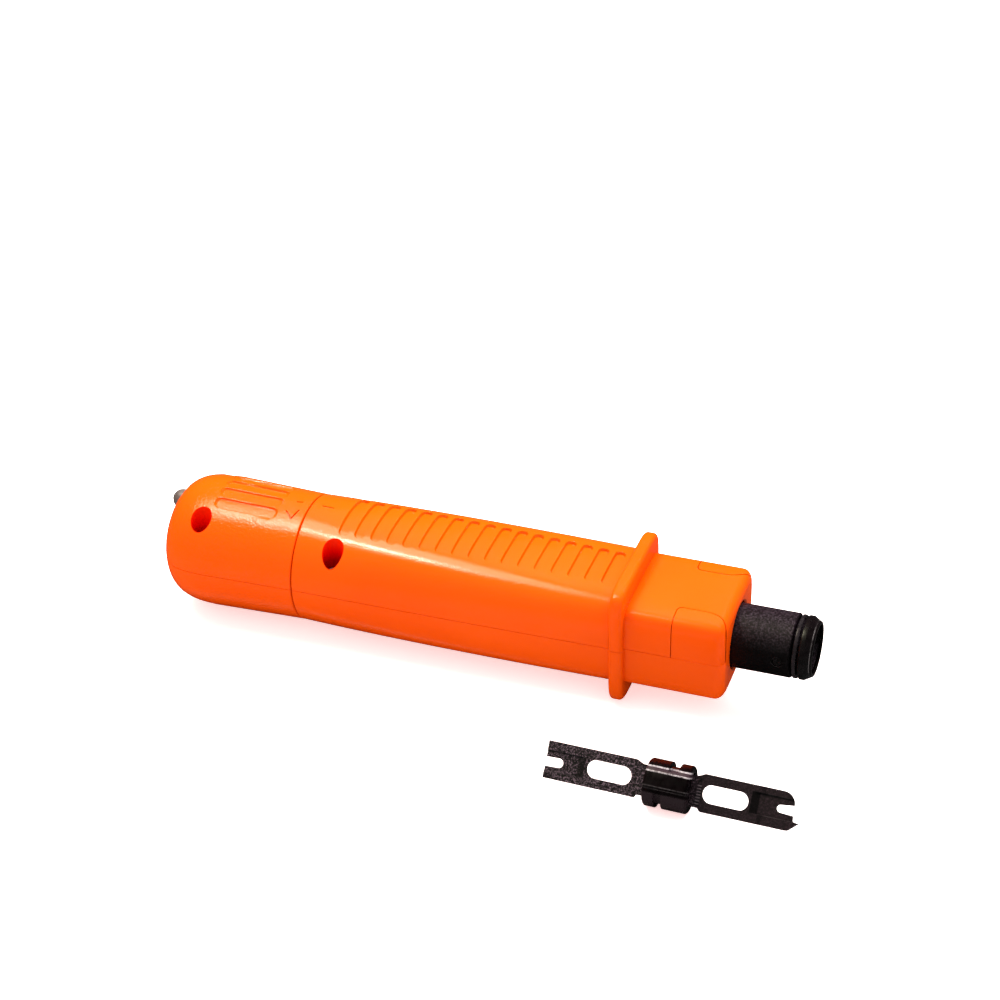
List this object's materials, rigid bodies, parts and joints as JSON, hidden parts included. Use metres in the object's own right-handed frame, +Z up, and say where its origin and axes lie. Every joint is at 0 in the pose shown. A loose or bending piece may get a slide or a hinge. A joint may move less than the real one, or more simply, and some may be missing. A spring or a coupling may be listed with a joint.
{
  "type": "impact punch down tool",
  "caption": "Hand-held impact punch-down tool with a ribbed two-shell handle, swinging storage cap, sliding sprung nozzle and a loose twist-lock blade lying beside it.",
  "frame": {"origin": "centre of the flat butt face of the end cap, on the tool's axis", "axes": "+X along the tool from the butt to the nozzle, +Z up through the ribbed face with the screw wells, +Y to the left seen from the butt"},
  "size_m": [0.1593, 0.0617, 0.0303],
  "materials": {
    "orange_shell": "satin moulded ABS, orange",
    "natural_plastic": "natural moulded",
    "black_nozzle": "black, fine sand texture",
    "black_collar": "black oxide, semi-gloss",
    "bright_steel": "bright",
    "plain_steel": "dull",
    "hammer_steel": "oiled",
    "spring_steel": "drawn wire",
    "zinc_screw": "zinc plated",
    "oxide_blade": "black oxide, hammered"
  },
  "bodies": {
    "handle": {"upper_shell": "orange_shell", "lower_shell": "orange_shell", "body_screw_left": "zinc_screw", "body_screw_right": "zinc_screw", "pivot_screw": "plain_steel", "pivot_washer": "bright_steel", "pivot_nut": "zinc_screw", "storage_tube": "natural_plastic", "spring_seat": "plain_steel", "release_wedge": "plain_steel"},
    "end_cap": {"cap_upper_shell": "orange_shell", "cap_lower_shell": "orange_shell", "cap_screw_left": "zinc_screw", "cap_screw_right": "zinc_screw"},
    "nozzle": {"nozzle_barrel": "black_nozzle", "bayonet_pin_left": "black_collar", "bayonet_pin_right": "black_collar", "lock_collar": "black_collar", "retaining_ring": "bright_steel", "striker_pin": "hammer_steel", "recoil_spring": "spring_steel"},
    "hammer": {"hammer": "hammer_steel", "main_spring": "spring_steel", "latch_spring": "spring_steel"},
    "latch": {"latch_plate": "plain_steel"},
    "blade": {"blade_plate": "oxide_blade", "blade_collar": "oxide_blade"}
  },
  "joints": [
    {"name": "impact_stroke", "type": "slide", "parent": "handle", "child": "nozzle", "axis": [-1, 0, 0], "range_m": [0, 0.009]},
    {"name": "hammer_travel", "type": "slide", "parent": "handle", "child": "hammer", "axis": [-1, 0, 0], "range_m": [0, 0.009], "deforming": ["main_spring"]},
    {"name": "latch_lift", "type": "slide", "parent": "hammer", "child": "latch", "axis": [0, 0, 1], "range_m": [0, 0.0015], "deforming": ["latch_spring"]},
    {"name": "cap_swing", "type": "hinge", "parent": "handle", "child": "end_cap", "pos_m": [0.03375, 0, 0.00945], "axis": [-1, 0, 0], "range_deg": [0, 120]},
    {"name": "blade_lift", "type": "slide", "parent": "handle", "child": "blade", "axis": [0, 0, 1], "range_m": [0, 0.04]}
  ],
  "couplings": [
    {"joint": "hammer_travel", "follows": "impact_stroke", "ratio": 1},
    {"joint": "latch_lift", "follows": "impact_stroke", "ratio": 0.16667}
  ]
}
